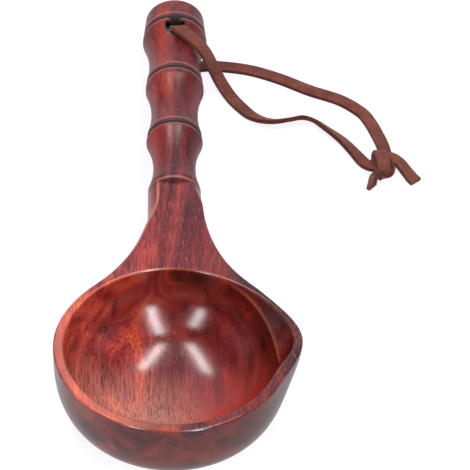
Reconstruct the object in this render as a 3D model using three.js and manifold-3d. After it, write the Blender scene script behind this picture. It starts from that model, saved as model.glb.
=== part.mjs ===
// Wooden ladle with a pouring lip, a bamboo-style handle and a suede hanging lace.
// Millimetres, +Z up. The ladle lies as it rests on a table, on the foot of its bowl and on the lace
// under the end of its handle. +Y runs from the bowl to the handle's end, +X to the pouring lip.
// The origin is the bottom centre of the wood's bounding box.

import * as THREE from 'three';
import { mergeVertices } from 'three/addons/utils/BufferGeometryUtils.js';
import Module from 'manifold-3d';

const wasm = await Module();
wasm.setup();

const DEG = Math.PI / 180;

// Bowl, measured from the middle of its rim, with the rim level
const BOWL_RADIUS = 46;
const BOWL_DEPTH = 38;
const BOWL_POWER = 3.4; // superellipse power of the outside section: steep wall, rounded base
const RIM_WIDTH = 4.1;
const FLOOR_THICKNESS = 5;
const HOLLOW_POWER = 2.9;

// Pouring lip on the +X side of the bowl
const LIP_AT = 4.5; // distance of its tip towards the handle
const LIP_REACH = 4.8; // how far the outside stands past the round bowl
const LIP_RUN = 26; // half its length along the rim
const LIP_DROP = 24; // how far down the wall it fades out
const TROUGH_REACH = 5.7; // how far the hollow is flared past its round
const TROUGH_FRONT_RUN = 22;
const TROUGH_BACK_RUN = 42;
const TROUGH_DEPTH = 9; // depth of the crease where the flare meets the round hollow

// Shoulder and neck, which carry the rim's flat on to the handle
const NECK_RADIUS = 11.05;
const FLARE_END = 76; // where the flare from the bowl has run out into the neck
const FLAT_HEIGHT = 8.5; // height of the flat above the handle's axis
const FLAT_START = 40; // where the flat leaves the plane of the rim
const FLANK_START = 57; // where the neck's sides start to round up over their widest line
const FLANK_END = 83;
const KEEL_START = 2; // the underside rises from the bowl's base to the neck between these
const KEEL_END = 68;
const LIP_FLANK = { at: 66, run: 26, reach: 1.2 }; // the lip's side stands out past the flare
const PLAIN_FLANK = { at: 34, run: 34, reach: -1.1 }; // and the other side in from it

// Handle, turned like bamboo: rings at the nodes, a waist between each two
const HANDLE_PITCH = 3.94 * DEG; // rise of its axis over the plane of the rim
const HANDLE_OFFSET = 0.8; // sideways, towards the lip
const NECK_LENGTH = 92.3; // from the middle of the bowl to the ring where the handle starts
const COLLAR_RADIUS = 10.8; // the handle's first ring, which stands over the flat as a step
const COLLAR_LENGTH = 3;
const CORE_INSET = 0.5; // how far under the flat the handle's core runs on into the neck
const INTERNODES = [ // the belly is the length of the ring on the near side of its groove
  { length: 32.7, waist: 9, belly: 2, ring: 12.1 },
  { length: 34.1, waist: 10.1, belly: 3.5, ring: 12.7 },
  { length: 31.3, waist: 11.4, belly: 3.2, ring: 14.25 },
];
const RING_LIP = 3; // length of the ring on the far side of its groove
const GROOVE_WIDTH = 1.6;
const GROOVE_DEPTH = 0.9;
const TAIL_LENGTH = 13.6; // from the last groove to the end of the handle
const TAIL_RADIUS = 13.1;
const END_ROUND = 2.6;

// Flat that is sanded on the bowl where it stands
const FOOT_CUT = 0.8;

// Suede lace, a flat strip that goes through the hole and is knotted into a loop
const LACE_WIDTH = 5.8;
const LACE_THICKNESS = 2;
const LACE_CORNER = 0.5;
const LACE_GAP = 0.4; // between the lace and what it touches
const TABLE_GAP = 0.05;

// Hole for the lace, square through the handle beside its last groove
const HOLE_CLEARANCE = 2.2;
const HOLE_DIAMETER = LACE_WIDTH + HOLE_CLEARANCE;
const HOLE_SETBACK = 4.6;
const HOLE_CHAMFER = 0.8;

// Knot, laid out from the hole: one turn of lace over the strand that it holds, one on edge under it
const KNOT_AT = [90.8, -59.2];
const KNOT_HEADING = -80 * DEG;
const OVER_TURN = { reach: 5.4, rise: 2.8 };
const UNDER_TURN = { shift: 1.2, side: 1.2, reach: 4.6, spread: 3.4 };

// How finely the round forms are faceted
const RIB_STEPS = 14;
const FRONT_RIBS = 28;
const SHOULDER_RIBS = 22;
const HOLLOW_SIDES = 56;
const HOLLOW_STEPS = 12;
const TURNED_SIDES = 36;
const WAIST_STEPS = 8;
const CORNER_STEPS = 4;
const SPAN_STEPS = 2;
const TURN_POINTS = 8;

const clamp01 = (t) => Math.min(1, Math.max(0, t));

const smooth = (t) => {
  const c = clamp01(t);
  return c * c * (3 - 2 * c);
};

// A raised cosine: 1 at the middle, 0 from the end of the run onwards
const swell = (offset, run) => 0.5 + 0.5 * Math.cos(Math.PI * clamp01(Math.abs(offset) / run));

const power = (base, exponent) => Math.max(0, base) ** exponent;

// Solids

function solidOf(geometry) {
  geometry.deleteAttribute('normal');
  geometry.deleteAttribute('uv');
  const merged = mergeVertices(geometry, 1e-4);
  const index = merged.index.array;
  const kept = [];
  for (let i = 0; i < index.length; i += 3) {
    const [a, b, c] = [index[i], index[i + 1], index[i + 2]];
    if (a !== b && b !== c && c !== a) kept.push(a, b, c);
  }
  return new wasm.Manifold(new wasm.Mesh({
    numProp: 3,
    vertProperties: new Float32Array(merged.attributes.position.array),
    triVerts: new Uint32Array(kept),
  }));
}

function geometryOf(solid) {
  const mesh = solid.getMesh();
  const geometry = new THREE.BufferGeometry();
  geometry.setAttribute('position', new THREE.BufferAttribute(mesh.vertProperties.slice(), 3));
  geometry.setIndex(new THREE.BufferAttribute(mesh.triVerts.slice(), 1));
  geometry.computeVertexNormals();
  return geometry;
}

function geometryFrom(points, quads) {
  const geometry = new THREE.BufferGeometry();
  const numbers = points.flatMap((point) => point.toArray());
  geometry.setAttribute('position', new THREE.Float32BufferAttribute(numbers, 3));
  geometry.setIndex(quads.flatMap(([a, b, c, d]) => [a, b, c, a, c, d]));
  return geometry;
}

// Outside of the bowl, shoulder and neck

const axisHeight = (y) => (y - FLAT_START) * Math.tan(HANDLE_PITCH) - FLAT_HEIGHT / Math.cos(HANDLE_PITCH);
const topHeight = (y) => Math.max(0, (y - FLAT_START) * Math.tan(HANDLE_PITCH));

// The round of the bowl runs on into a parabola that touches it and ends along the neck
function flareStart() {
  let [low, high] = [0, BOWL_RADIUS];
  for (let i = 0; i < 60; i += 1) {
    const y = (low + high) / 2;
    const width = Math.sqrt(BOWL_RADIUS ** 2 - y ** 2);
    if (NECK_RADIUS + (y * (FLARE_END - y)) / (2 * width) < width) low = y;
    else high = y;
  }
  return low;
}
const FLARE_START = flareStart();

function halfWidth(y) {
  if (y < FLARE_START) return Math.sqrt(BOWL_RADIUS ** 2 - y ** 2);
  const startWidth = Math.sqrt(BOWL_RADIUS ** 2 - FLARE_START ** 2);
  const left = clamp01((FLARE_END - y) / (FLARE_END - FLARE_START));
  return NECK_RADIUS + (startWidth - NECK_RADIUS) * left ** 2;
}

const lipSwell = (y, depth) => LIP_REACH * swell(y - LIP_AT, LIP_RUN) * swell(depth, LIP_DROP);

// One side of a section square to Y, from the edge of the flat round to the keel
function shoulderRib(y, side) {
  const neck = smooth((y - KEEL_START) / (KEEL_END - KEEL_START));
  const depth = BOWL_DEPTH + (FLAT_HEIGHT + NECK_RADIUS - BOWL_DEPTH) * neck;
  const rounding = smooth((y - FLANK_START) / (FLANK_END - FLANK_START));
  const flank = Math.asin(FLAT_HEIGHT / NECK_RADIUS) * rounding;
  const belt = NECK_RADIUS * Math.sin(flank);
  const exponent = 2 / (BOWL_POWER + (2 - BOWL_POWER) * neck);
  const middle = HANDLE_OFFSET * smooth(y / FLARE_END);
  const { at, run, reach } = side > 0 ? LIP_FLANK : PLAIN_FLANK;
  const width = halfWidth(y) + reach * swell(y - at, run);
  const points = [];
  for (let i = 0; i <= RIB_STEPS; i += 1) {
    const angle = flank - (flank + Math.PI / 2) * (i / RIB_STEPS);
    const down = angle < 0;
    const across = width * power(Math.cos(angle), down ? exponent : 1);
    const fall = down
      ? belt + (depth - belt) * power(-Math.sin(angle), exponent)
      : belt - NECK_RADIUS * Math.sin(angle);
    const lip = side > 0 ? lipSwell(y, fall) * Math.sign(RIB_STEPS - i) : 0;
    points.push(new THREE.Vector3(middle + side * across + lip, y, topHeight(y) - fall));
  }
  return points;
}

// A section of the round front of the bowl, from the rim down to the middle of its base
function frontRib(angle) {
  const points = [];
  for (let i = 0; i <= RIB_STEPS; i += 1) {
    const turn = (Math.PI / 2) * (i / RIB_STEPS);
    const reach = BOWL_RADIUS * power(Math.cos(turn), 2 / BOWL_POWER);
    const fall = BOWL_DEPTH * power(Math.sin(turn), 2 / BOWL_POWER);
    const [x, y] = [reach * Math.cos(angle), reach * Math.sin(angle)];
    const lip = x > 0 ? lipSwell(y, fall) * smooth(x / (BOWL_RADIUS / 2)) : 0;
    points.push(new THREE.Vector3(x + lip, y, -fall));
  }
  return points;
}

// Ribs in order from the neck down the +X side, round the front and back up the -X side
function bowlAndNeck() {
  const stations = [];
  for (let i = 1; i <= SHOULDER_RIBS; i += 1) {
    stations.push((NECK_LENGTH + COLLAR_LENGTH / 2) * (i / SHOULDER_RIBS));
  }
  const ribs = stations.toReversed().map((y) => shoulderRib(y, 1));
  for (let i = 0; i <= FRONT_RIBS; i += 1) ribs.push(frontRib((-Math.PI * i) / FRONT_RIBS));
  ribs.push(...stations.map((y) => shoulderRib(y, -1)));

  const at = (rib, step) => rib * (RIB_STEPS + 1) + step;
  const last = ribs.length - 1;
  const quads = [];
  for (let r = 0; r < last; r += 1) {
    for (let s = 0; s < RIB_STEPS; s += 1) {
      quads.push([at(r, s), at(r + 1, s), at(r + 1, s + 1), at(r, s + 1)]);
    }
  }
  for (let r = 0; r < last / 2; r += 1) {
    quads.push([at(r, 0), at(last - r, 0), at(last - r - 1, 0), at(r + 1, 0)]);
  }
  for (let s = 0; s < RIB_STEPS; s += 1) quads.push([at(0, s), at(0, s + 1), at(last, s + 1), at(last, s)]);
  return solidOf(geometryFrom(ribs.flat(), quads));
}

// Hollow of the bowl, with the trough that leads to the pouring lip

function troughFlare(x, y, depth) {
  if (x <= 0) return 0;
  const run = y < LIP_AT ? TROUGH_FRONT_RUN : TROUGH_BACK_RUN;
  const sideways = smooth(x / (BOWL_RADIUS / 2));
  return TROUGH_REACH * swell(y - LIP_AT, run) * sideways * clamp01(1 - depth / TROUGH_DEPTH);
}

function hollow() {
  const radius = BOWL_RADIUS - RIM_WIDTH;
  const depth = BOWL_DEPTH - FLOOR_THICKNESS;
  const clearance = BOWL_DEPTH / 4; // how far the cutter stands above the rim
  const creaseTurn = Math.asin((TROUGH_DEPTH / depth) ** (HOLLOW_POWER / 2));
  const turns = [0, creaseTurn / 2];
  for (let i = 0; i <= HOLLOW_STEPS; i += 1) {
    turns.push(creaseTurn + (Math.PI / 2 - creaseTurn) * (i / HOLLOW_STEPS));
  }
  const rows = turns.map((turn) => ({
    reach: radius * power(Math.cos(turn), 2 / HOLLOW_POWER),
    fall: depth * power(Math.sin(turn), 2 / HOLLOW_POWER),
  }));
  rows.unshift({ reach: radius, fall: -clearance });
  const points = [];
  for (const { reach, fall } of rows) {
    for (let i = 0; i < HOLLOW_SIDES; i += 1) {
      const angle = (2 * Math.PI * i) / HOLLOW_SIDES;
      const [x, y] = [reach * Math.cos(angle), reach * Math.sin(angle)];
      points.push(new THREE.Vector3(x + troughFlare(x, y, Math.max(0, fall)), y, -fall));
    }
  }
  const lid = points.push(new THREE.Vector3(0, 0, clearance)) - 1;
  const quads = [];
  for (let i = 0; i < HOLLOW_SIDES; i += 1) {
    const next = (i + 1) % HOLLOW_SIDES;
    for (let r = 0; r < rows.length - 1; r += 1) {
      const [top, bottom] = [r * HOLLOW_SIDES, (r + 1) * HOLLOW_SIDES];
      quads.push([top + i, bottom + i, bottom + next, top + next]);
    }
    quads.push([lid, i, next, next]);
  }
  return solidOf(geometryFrom(points, quads));
}

// Handle, turned about its own axis; distances along it run from the middle of the bowl

const NODES = [];
for (const { length } of INTERNODES) NODES.push((NODES.at(-1) ?? NECK_LENGTH) + length);
const HANDLE_LENGTH = NODES.at(-1) + TAIL_LENGTH;

function handleProfile() {
  const core = FLAT_HEIGHT - CORE_INSET;
  const outline = [
    [0, NECK_LENGTH - COLLAR_LENGTH],
    [core, NECK_LENGTH - COLLAR_LENGTH],
    [core, NECK_LENGTH],
    [COLLAR_RADIUS, NECK_LENGTH],
    [COLLAR_RADIUS, NECK_LENGTH + COLLAR_LENGTH],
  ];
  let [from, fromRadius] = [NECK_LENGTH + COLLAR_LENGTH, COLLAR_RADIUS];
  INTERNODES.forEach(({ waist, belly, ring }, i) => {
    const groove = NODES[i];
    const to = groove - belly;
    const sag = (fromRadius + ring) / 2 - waist;
    for (let k = 1; k <= WAIST_STEPS; k += 1) {
      const t = k / WAIST_STEPS;
      outline.push([fromRadius + (ring - fromRadius) * t - 4 * sag * t * (1 - t), from + (to - from) * t]);
    }
    outline.push([ring, groove - GROOVE_WIDTH / 2]);
    outline.push([ring - GROOVE_DEPTH, groove]);
    outline.push([ring - GROOVE_DEPTH / 3, groove + GROOVE_WIDTH / 2]);
    [from, fromRadius] = [groove + RING_LIP, ring - GROOVE_DEPTH / 2];
    outline.push([fromRadius, from]);
  });
  const corner = HANDLE_LENGTH - END_ROUND;
  for (let k = 0; k <= CORNER_STEPS; k += 1) {
    const turn = (Math.PI / 2) * (k / CORNER_STEPS);
    outline.push([
      TAIL_RADIUS - END_ROUND + END_ROUND * Math.cos(turn),
      corner + END_ROUND * Math.sin(turn),
    ]);
  }
  outline.push([0, HANDLE_LENGTH]);
  return outline.map(([radius, along]) => new THREE.Vector2(radius, along));
}

// The lathe turns about Y, which is tipped up to the handle's pitch and set over the bowl's middle
function alongHandle(geometry) {
  geometry.rotateX(HANDLE_PITCH);
  geometry.translate(HANDLE_OFFSET, 0, axisHeight(0));
  return geometry;
}

const handle = () => solidOf(alongHandle(new THREE.LatheGeometry(handleProfile(), TURNED_SIDES)));

const HOLE_AT = NODES.at(-1) - HOLE_SETBACK;

function laceHole() {
  const radius = HOLE_DIAMETER / 2;
  const mouth = INTERNODES.at(-1).ring - HOLE_CHAMFER / 2;
  const past = HOLE_DIAMETER;
  const outline = [
    [0, -mouth - past],
    [radius + HOLE_CHAMFER + past, -mouth - past],
    [radius, -mouth + HOLE_CHAMFER],
    [radius, mouth - HOLE_CHAMFER],
    [radius + HOLE_CHAMFER + past, mouth + past],
    [0, mouth + past],
  ];
  const bore = new THREE.LatheGeometry(outline.map(([r, h]) => new THREE.Vector2(r, h)), TURNED_SIDES / 2);
  bore.rotateX(Math.PI / 2);
  bore.translate(0, HOLE_AT, 0);
  return solidOf(alongHandle(bore));
}

// The ladle as carved, with its rim level

const bowlForm = bowlAndNeck();
const handleForm = handle();
const carved = bowlForm.add(handleForm).subtract(hollow()).subtract(laceHole());

// How it rests: tipped back until the handle lies on the lace and the foot to be cut on the table

function lowest(solid, tilt) {
  const { vertProperties: v } = solid.getMesh();
  let low = Infinity;
  for (let i = 0; i < v.length; i += 3) {
    low = Math.min(low, v[i + 2] * Math.cos(tilt) - v[i + 1] * Math.sin(tilt));
  }
  return low;
}

function restTilt() {
  let [low, high] = [0, 45 * DEG];
  for (let i = 0; i < 40; i += 1) {
    const tilt = (low + high) / 2;
    const handleFoot = lowest(handleForm, tilt) - LACE_THICKNESS - LACE_GAP;
    if (handleFoot > lowest(bowlForm, tilt) + FOOT_CUT) low = tilt;
    else high = tilt;
  }
  return low;
}

const REST_TILT = restTilt();
const REST_LIFT = LACE_THICKNESS + LACE_GAP - lowest(handleForm, REST_TILT);

function restOnTable(geometry) {
  geometry.rotateX(-REST_TILT);
  geometry.translate(0, 0, REST_LIFT);
  return geometry;
}

function tableSlab() {
  const slab = new THREE.BoxGeometry(4 * BOWL_RADIUS, 2 * HANDLE_LENGTH, BOWL_DEPTH);
  slab.translate(0, 0, -BOWL_DEPTH / 2);
  return solidOf(slab);
}

const resting = geometryOf(solidOf(restOnTable(geometryOf(carved))).subtract(tableSlab()));
resting.computeBoundingBox();
const middle = resting.boundingBox.getCenter(new THREE.Vector3());
resting.translate(-middle.x, -middle.y, 0);

// The middle of the hole, where the two halves of the lace meet
const holeMark = new THREE.BufferGeometry().setFromPoints([new THREE.Vector3(0, HOLE_AT, 0)]);
restOnTable(alongHandle(holeMark)).translate(-middle.x, -middle.y, 0);
const hole = new THREE.Vector3().fromBufferAttribute(holeMark.attributes.position, 0);

// Lace, laid out from below the hole. A face is the way that one flat side of the strip looks.

const place = (x, y, z, face) => ({ at: new THREE.Vector3(x, y, z), face: new THREE.Vector3(...face) });

// Points on the table, each [x, y, degrees that the strip leans to the left of its run]
function onTable(points) {
  return points.map(([x, y, lean], i) => {
    const [fromX, fromY] = points[Math.max(0, i - 1)];
    const [toX, toY] = points[Math.min(points.length - 1, i + 1)];
    const tip = lean * DEG;
    const left = new THREE.Vector3(fromY - toY, toX - fromX, 0);
    const face = left.setLength(Math.sin(tip)).setZ(Math.cos(tip));
    const height = (LACE_WIDTH * Math.sin(tip) + LACE_THICKNESS * Math.cos(tip)) / 2 + TABLE_GAP;
    return { at: new THREE.Vector3(x, y, height), face };
  });
}

const TO_KNOT = [
  place(0, 0, hole.z + LACE_GAP / 2, [-0.87, 0.5, 0]),
  place(0, 0, 24, [-0.64, 0.77, 0]),
  place(-0.1, 0, 29.6, [-0.37, 0.93, 0.1]),
  place(0.2, -1.2, 32.6, [-0.25, 0.6, 0.76]),
  place(1.8, -4.8, 34.3, [0, 0.1, 1]),
  place(4.4, -7.9, 34.3, [0.25, -0.1, 0.96]),
  place(9.2, -10.6, 31, [0.65, -0.1, 0.75]),
  place(13.5, -11.3, 24.4, [0.88, -0.1, 0.48]),
  place(16.7, -10.9, 15.8, [0.93, 0, 0.37]),
  place(20.2, -11.5, 7.6, [0.8, 0.1, 0.6]),
  place(23.5, -14.4, 3.2, [0.35, 0, 0.94]),
  ...onTable([
    [26.5, -17.7, 0],
    [30, -22.6, 3],
    [34.1, -27.7, 14],
    [38.9, -31, 30],
    [44.6, -32.2, 42],
    [51.3, -31.1, 48],
    [57, -29.8, 49],
    [62, -31.6, 49],
    [66.8, -35.8, 45],
    [73.7, -42.5, 32],
    [78.6, -49, 22],
  ]),
  place(82, -54.7, 2.4, [0.1, 0.2, 0.97]),
  place(84, -57.6, 3, [0.1, 0.1, 0.99]),
];
const THROUGH_KNOT = [
  place(87, -59.8, 3.6, [0.1, 0.1, 0.99]),
  place(91, -58.6, 3.9, [0, 0, 1]),
  place(94.6, -57, 4, [0, 0, 1]),
  place(97.8, -57.6, 3.6, [0, 0, 1]),
];
const PAST_KNOT = [
  place(100.6, -59.6, 2.5, [0.1, 0.1, 0.97]),
  ...onTable([
    [102.6, -62.2, 0],
    [104.4, -66, 0],
  ]),
];
const UPPER_ROUTE = [...TO_KNOT, ...THROUGH_KNOT, ...PAST_KNOT];
const INTO_KNOT = TO_KNOT.length - 1;
const OUT_OF_KNOT = INTO_KNOT + THROUGH_KNOT.length;
const LOWER_ROUTE = [
  place(0, 0, hole.z - LACE_GAP / 2, [0.87, -0.5, 0]),
  place(0, 0, 10, [0.95, -0.2, 0]),
  place(0, 0, 5, [0.98, 0.17, 0.1]),
  place(0.9, 0.2, 2.2, [0.7, 0.15, 0.7]),
  ...onTable([
    [3.2, 0.8, 0],
    [12.9, 3.4, 0],
    [20.6, 3.4, 0],
    [34.2, 1.2, 0],
    [47.7, -4.1, 0],
    [61, -11.2, 0],
    [74.3, -17, 0],
    [83.3, -24.3, 0],
    [87.1, -30.6, 0],
    [90.2, -38.9, 0],
  ]),
  place(91.4, -45, 2, [0, 0.1, 0.99]),
  place(91.9, -51.6, 3.6, [0, 0.1, 0.99]),
];
const SHORT_TAIL_ROUTE = onTable([
  [86.2, -63.6, 50],
  [85.6, -66.6, 45],
  [84.8, -70, 35],
]);

// A flat strip along a smooth curve through its places, or along the run between two of them, which
// keeps clear of the run before it; closed into a ring if asked
function strip(route, { from = 0, to = route.length - 1, ring = false } = {}) {
  const curve = new THREE.CatmullRomCurve3(route.map(({ at }) => at), ring);
  const spans = ring ? route.length : route.length - 1;
  const stations = [];
  for (let i = from * SPAN_STEPS; i <= to * SPAN_STEPS; i += 1) stations.push(i / SPAN_STEPS);
  if (ring) stations.push(to + 1 / SPAN_STEPS);
  if (from > 0) stations[0] += LACE_GAP / route[from].at.distanceTo(route[from + 1].at);

  const [w, h, c] = [LACE_WIDTH / 2, LACE_THICKNESS / 2, LACE_CORNER];
  const half = [[w, c - h], [w, h - c], [w - c, h], [c - w, h]];
  const section = [...half, ...half.map(([a, b]) => [-a, -b])];
  const points = [];
  for (const station of stations) {
    const span = Math.min(Math.floor(station), spans - 1);
    const next = route[(span + 1) % route.length];
    const face = route[span].face.clone().lerp(next.face, station - span);
    const along = curve.getTangent(station / spans);
    const across = along.clone().cross(face).normalize();
    const out = across.clone().cross(along);
    for (const [a, b] of section) {
      points.push(curve.getPoint(station / spans).addScaledVector(across, a).addScaledVector(out, b));
    }
  }

  const sides = section.length;
  const rows = stations.length;
  const quads = [];
  for (let row = 0; row < (ring ? rows : rows - 1); row += 1) {
    const [here, there] = [row * sides, ((row + 1) % rows) * sides];
    for (let j = 0; j < sides; j += 1) {
      const k = (j + 1) % sides;
      quads.push([here + j, there + j, there + k, here + k]);
    }
  }
  const last = (rows - 1) * sides;
  for (let j = 1; j < sides - 1 && !ring; j += 1) {
    quads.push([0, j, j + 1, j + 1], [last, last + j + 1, last + j, last + j]);
  }
  return solidOf(geometryFrom(points, quads));
}

// An oval turn of the lace, which goes round its middle by way of two directions
function turnOfLace(centre, first, second) {
  const route = [];
  for (let i = 0; i < TURN_POINTS; i += 1) {
    const angle = (2 * Math.PI * i) / TURN_POINTS;
    const [c, s] = [Math.cos(angle), Math.sin(angle)];
    const out = first.clone().multiplyScalar(c / first.lengthSq());
    out.addScaledVector(second, s / second.lengthSq());
    route.push({
      at: centre.clone().addScaledVector(first, c).addScaledVector(second, s),
      face: out.normalize(),
    });
  }
  return strip(route, { ring: true });
}

function knot() {
  const up = new THREE.Vector3(0, 0, 1);
  const heading = new THREE.Vector3(Math.cos(KNOT_HEADING), Math.sin(KNOT_HEADING), 0);
  const sideways = new THREE.Vector3(-heading.y, heading.x, 0);
  const foot = new THREE.Vector3(...KNOT_AT, TABLE_GAP);
  const over = turnOfLace(
    foot.clone().addScaledVector(up, OVER_TURN.rise + LACE_THICKNESS / 2),
    heading.clone().multiplyScalar(OVER_TURN.reach),
    up.clone().multiplyScalar(OVER_TURN.rise),
  );
  const under = turnOfLace(
    foot.clone().addScaledVector(up, LACE_WIDTH / 2)
      .addScaledVector(heading, UNDER_TURN.shift).addScaledVector(sideways, UNDER_TURN.side),
    heading.clone().multiplyScalar(UNDER_TURN.reach),
    sideways.clone().multiplyScalar(UNDER_TURN.spread),
  );
  const through = strip(UPPER_ROUTE, { from: INTO_KNOT, to: OUT_OF_KNOT });
  return over.add(under).add(through).add(knotCore(heading));
}

// The lace inside the over turn, drawn tight
function knotCore(heading) {
  const core = new THREE.CylinderGeometry(1, 1, LACE_WIDTH - 2 * LACE_CORNER, 2 * TURN_POINTS);
  core.scale(OVER_TURN.reach, 1, OVER_TURN.rise);
  core.rotateZ(Math.atan2(heading.y, heading.x));
  core.translate(...KNOT_AT, OVER_TURN.rise + LACE_THICKNESS / 2 + TABLE_GAP);
  return solidOf(core);
}

// The assembly

const rosewood = new THREE.MeshStandardMaterial({ color: 0x7a2f28, roughness: 0.35, metalness: 0 });
const suede = new THREE.MeshStandardMaterial({ color: 0x96594a, roughness: 0.95, metalness: 0 });

function piece(name, geometry, material) {
  const mesh = new THREE.Mesh(geometry, material);
  mesh.name = name;
  return mesh;
}

const lace = new THREE.Group();
lace.position.set(hole.x, hole.y, 0);
lace.add(
  piece('lace_upper_run', geometryOf(strip(UPPER_ROUTE, { to: INTO_KNOT })), suede),
  piece('lace_lower_run', geometryOf(strip(LOWER_ROUTE)), suede),
  piece('lace_knot', geometryOf(knot()), suede),
  piece('lace_long_tail', geometryOf(strip(UPPER_ROUTE, { from: OUT_OF_KNOT })), suede),
  piece('lace_short_tail', geometryOf(strip(SHORT_TAIL_ROUTE)), suede),
);

const ladle = new THREE.Group();
ladle.add(piece('ladle_body', resting, rosewood), lace);

export default ladle;
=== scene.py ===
# Wooden ladle with a pouring lip, a bamboo-style handle and a knotted suede lace.
# The object is in metres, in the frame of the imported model; sizes below are in millimetres.

import math

import bmesh
import bpy
import numpy as np
from mathutils import Euler, Matrix, Vector


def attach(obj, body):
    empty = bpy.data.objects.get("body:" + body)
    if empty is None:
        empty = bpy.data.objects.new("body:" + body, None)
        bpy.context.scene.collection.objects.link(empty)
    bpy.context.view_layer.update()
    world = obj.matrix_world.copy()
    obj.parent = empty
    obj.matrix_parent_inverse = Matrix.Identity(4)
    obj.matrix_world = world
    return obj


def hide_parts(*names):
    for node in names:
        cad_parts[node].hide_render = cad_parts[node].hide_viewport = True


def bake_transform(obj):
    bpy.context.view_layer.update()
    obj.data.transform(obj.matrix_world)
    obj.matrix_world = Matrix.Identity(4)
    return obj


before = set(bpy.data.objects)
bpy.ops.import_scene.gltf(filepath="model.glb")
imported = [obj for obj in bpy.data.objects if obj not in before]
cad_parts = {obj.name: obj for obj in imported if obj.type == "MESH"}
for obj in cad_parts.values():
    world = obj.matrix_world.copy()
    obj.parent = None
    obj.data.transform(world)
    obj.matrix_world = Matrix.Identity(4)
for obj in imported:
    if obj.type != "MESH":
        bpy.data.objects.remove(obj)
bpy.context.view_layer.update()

MM = 0.001
DEG = math.pi / 180

# Camera, fitted to the photograph's view
CAMERA_AT = (-8.1, -600.2, 708.5)
CAMERA_TURN = (40.73, -1.87, -0.89)
FRAME_PIXELS = 470
FOCAL_PIXELS = 2200
SENSOR = 36

# Bowl, measured from the middle of its rim with the rim level
BOWL_RADIUS = 46
BOWL_DEPTH = 38
BOWL_POWER = 3.4
RIM_WIDTH = 4.1
FLOOR_THICKNESS = 5
HOLLOW_POWER = 2.45
EDGE_ROUND = 0.9

# Pouring lip and the trough that leads to it
LIP_AT = 4.5
LIP_REACH = 4.8
LIP_RUN = 26
LIP_DROP = 24
TROUGH_REACH = 5.7
TROUGH_FRONT_RUN = 22
TROUGH_BACK_RUN = 42
TROUGH_DEPTH = 9

# Shoulder and neck
NECK_RADIUS = 11.05
FLARE_END = 76
FLAT_HEIGHT = 8.5
FLAT_START = 40
FLAT_BLEND = 0.12
FLANK_START = 57
FLANK_END = 83
LIP_FLANK_START = 72  # on the lip's side the flat stays wide almost to the collar
LIP_FLANK_END = 93
KEEL_START = 2
KEEL_END = 68
LIP_FLANK = (66, 26, 1.2)  # where, run, how far the lip's side stands out past the flare
PLAIN_FLANK = (34, 34, -1.1)

# How pale edges are drawn, from 0 to 1: a little worn on the inner edge, painted highlights on the left-hand
# edges, and a pale line along the crease
WORN_INNER_EDGE = 0.05
LEFT_EDGE_HIGHLIGHT = 0.06
FLAT_EDGE_HIGHLIGHT = 0.12
RIM_HIGHLIGHT = 0.3
OUTER_EDGE_HIGHLIGHT = 0.05
NECK_EDGE_HIGHLIGHT = 0.35
CREASE_PALENESS = 0.25
CREASE_WIDTH = 1

# Handle, turned like bamboo
HANDLE_PITCH = 3.94 * DEG
HANDLE_OFFSET = 0.8
NECK_LENGTH = 92.3
COLLAR_RADIUS = 10.8
COLLAR_LENGTH = 3
COLLAR_SLANT = 0.02
CORE_INSET = 0.5
INTERNODES = [  # length, waist, belly before the groove, ring
    (32.7, 9, 2, 12.1),
    (34.1, 10.1, 3.5, 12.7),
    (31.3, 11.4, 3.2, 14.25),
]
RING_LIP = 3
GROOVE_WIDTH = 1.6
GROOVE_DEPTH = 0.9
TAIL_LENGTH = 13.6
TAIL_RADIUS = 13.1
END_ROUND = 2.6
TURNING_ROUND = 0.45
HOLE_DIAMETER = 8
HOLE_SETBACK = 4.6
HOLE_CHAMFER = 0.8

# How it rests on the table: tipped back, lifted, and set with its box over the origin
REST_TILT = 6.8475 * DEG
REST_LIFT = 37.4436
REST_MIDDLE = (2.3041, 78.0296)

# Suede lace
LACE_WIDTH = 5.8
LACE_THICKNESS = 2
LACE_CORNER = 0.55
TABLE_GAP = 0.15

# How finely the surfaces are divided
FRONT_COLUMNS = 112
SHOULDER_COLUMNS = 84
NECK_COLUMNS = 18
HOLLOW_ROWS = 72
TOP_ROWS = 9
WALL_ROWS = 44
ROUND_ROWS = 4
DENSE = 600
TURNED_SIDES = 144
WAIST_STEPS = 30
SPAN_STEPS = 8
END_STEPS = 10
CORNER_STEPS = 4
HALVINGS = 60
RIB_POWER = 1.6  # crowds the points of a rib towards the rim
STRAIGHT = 0.97  # cosine past which a corner of an outline is left as it is
CORNER_SHARE = 0.45  # of a side, at most, that a rounded corner takes
MERGE_DISTANCE = 0.001
LEAST_EDGE = 0.0001
WOOD_EDGE_ANGLE = 35 * DEG
LACE_EDGE_ANGLE = 50 * DEG


# Helpers

def linear(code):
    """A colour written as sRGB hex, as the linear values that a shader reads."""
    parts = [int(code[i:i + 2], 16) / 255 for i in (1, 3, 5)]
    return [p / 12.92 if p <= 0.04045 else ((p + 0.055) / 1.055) ** 2.4 for p in parts] + [1]


def add_node(tree, kind, links=None, stops=None, **settings):
    """Adds a node. settings set its own properties, links fill its inputs by a value or from a socket, and
    stops are the places and colours of a colour ramp."""
    node = tree.nodes.new(kind)
    for name, value in settings.items():
        setattr(node, name, value)
    for key, value in (links or {}).items():
        socket = node.inputs[key]
        if isinstance(value, bpy.types.NodeSocket):
            tree.links.new(value, socket)
        else:
            socket.default_value = value
    if stops:
        elements = node.color_ramp.elements
        elements.remove(elements[-1])
        elements[0].position, elements[0].color = stops[0]
        for position, tint in stops[1:]:
            elements.new(position).color = tint
    return node


def new_object(name, data):
    thing = bpy.data.objects.new(name, data)
    bpy.context.scene.collection.objects.link(thing)
    return thing


def baked(thing):
    """The evaluated object as a plain mesh, with the object itself removed."""
    graph = bpy.context.evaluated_depsgraph_get()
    mesh = bpy.data.meshes.new_from_object(thing.evaluated_get(graph))
    mesh.name = thing.name
    bpy.data.objects.remove(thing)
    return mesh


def clamp01(t):
    return np.clip(t, 0, 1)


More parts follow.
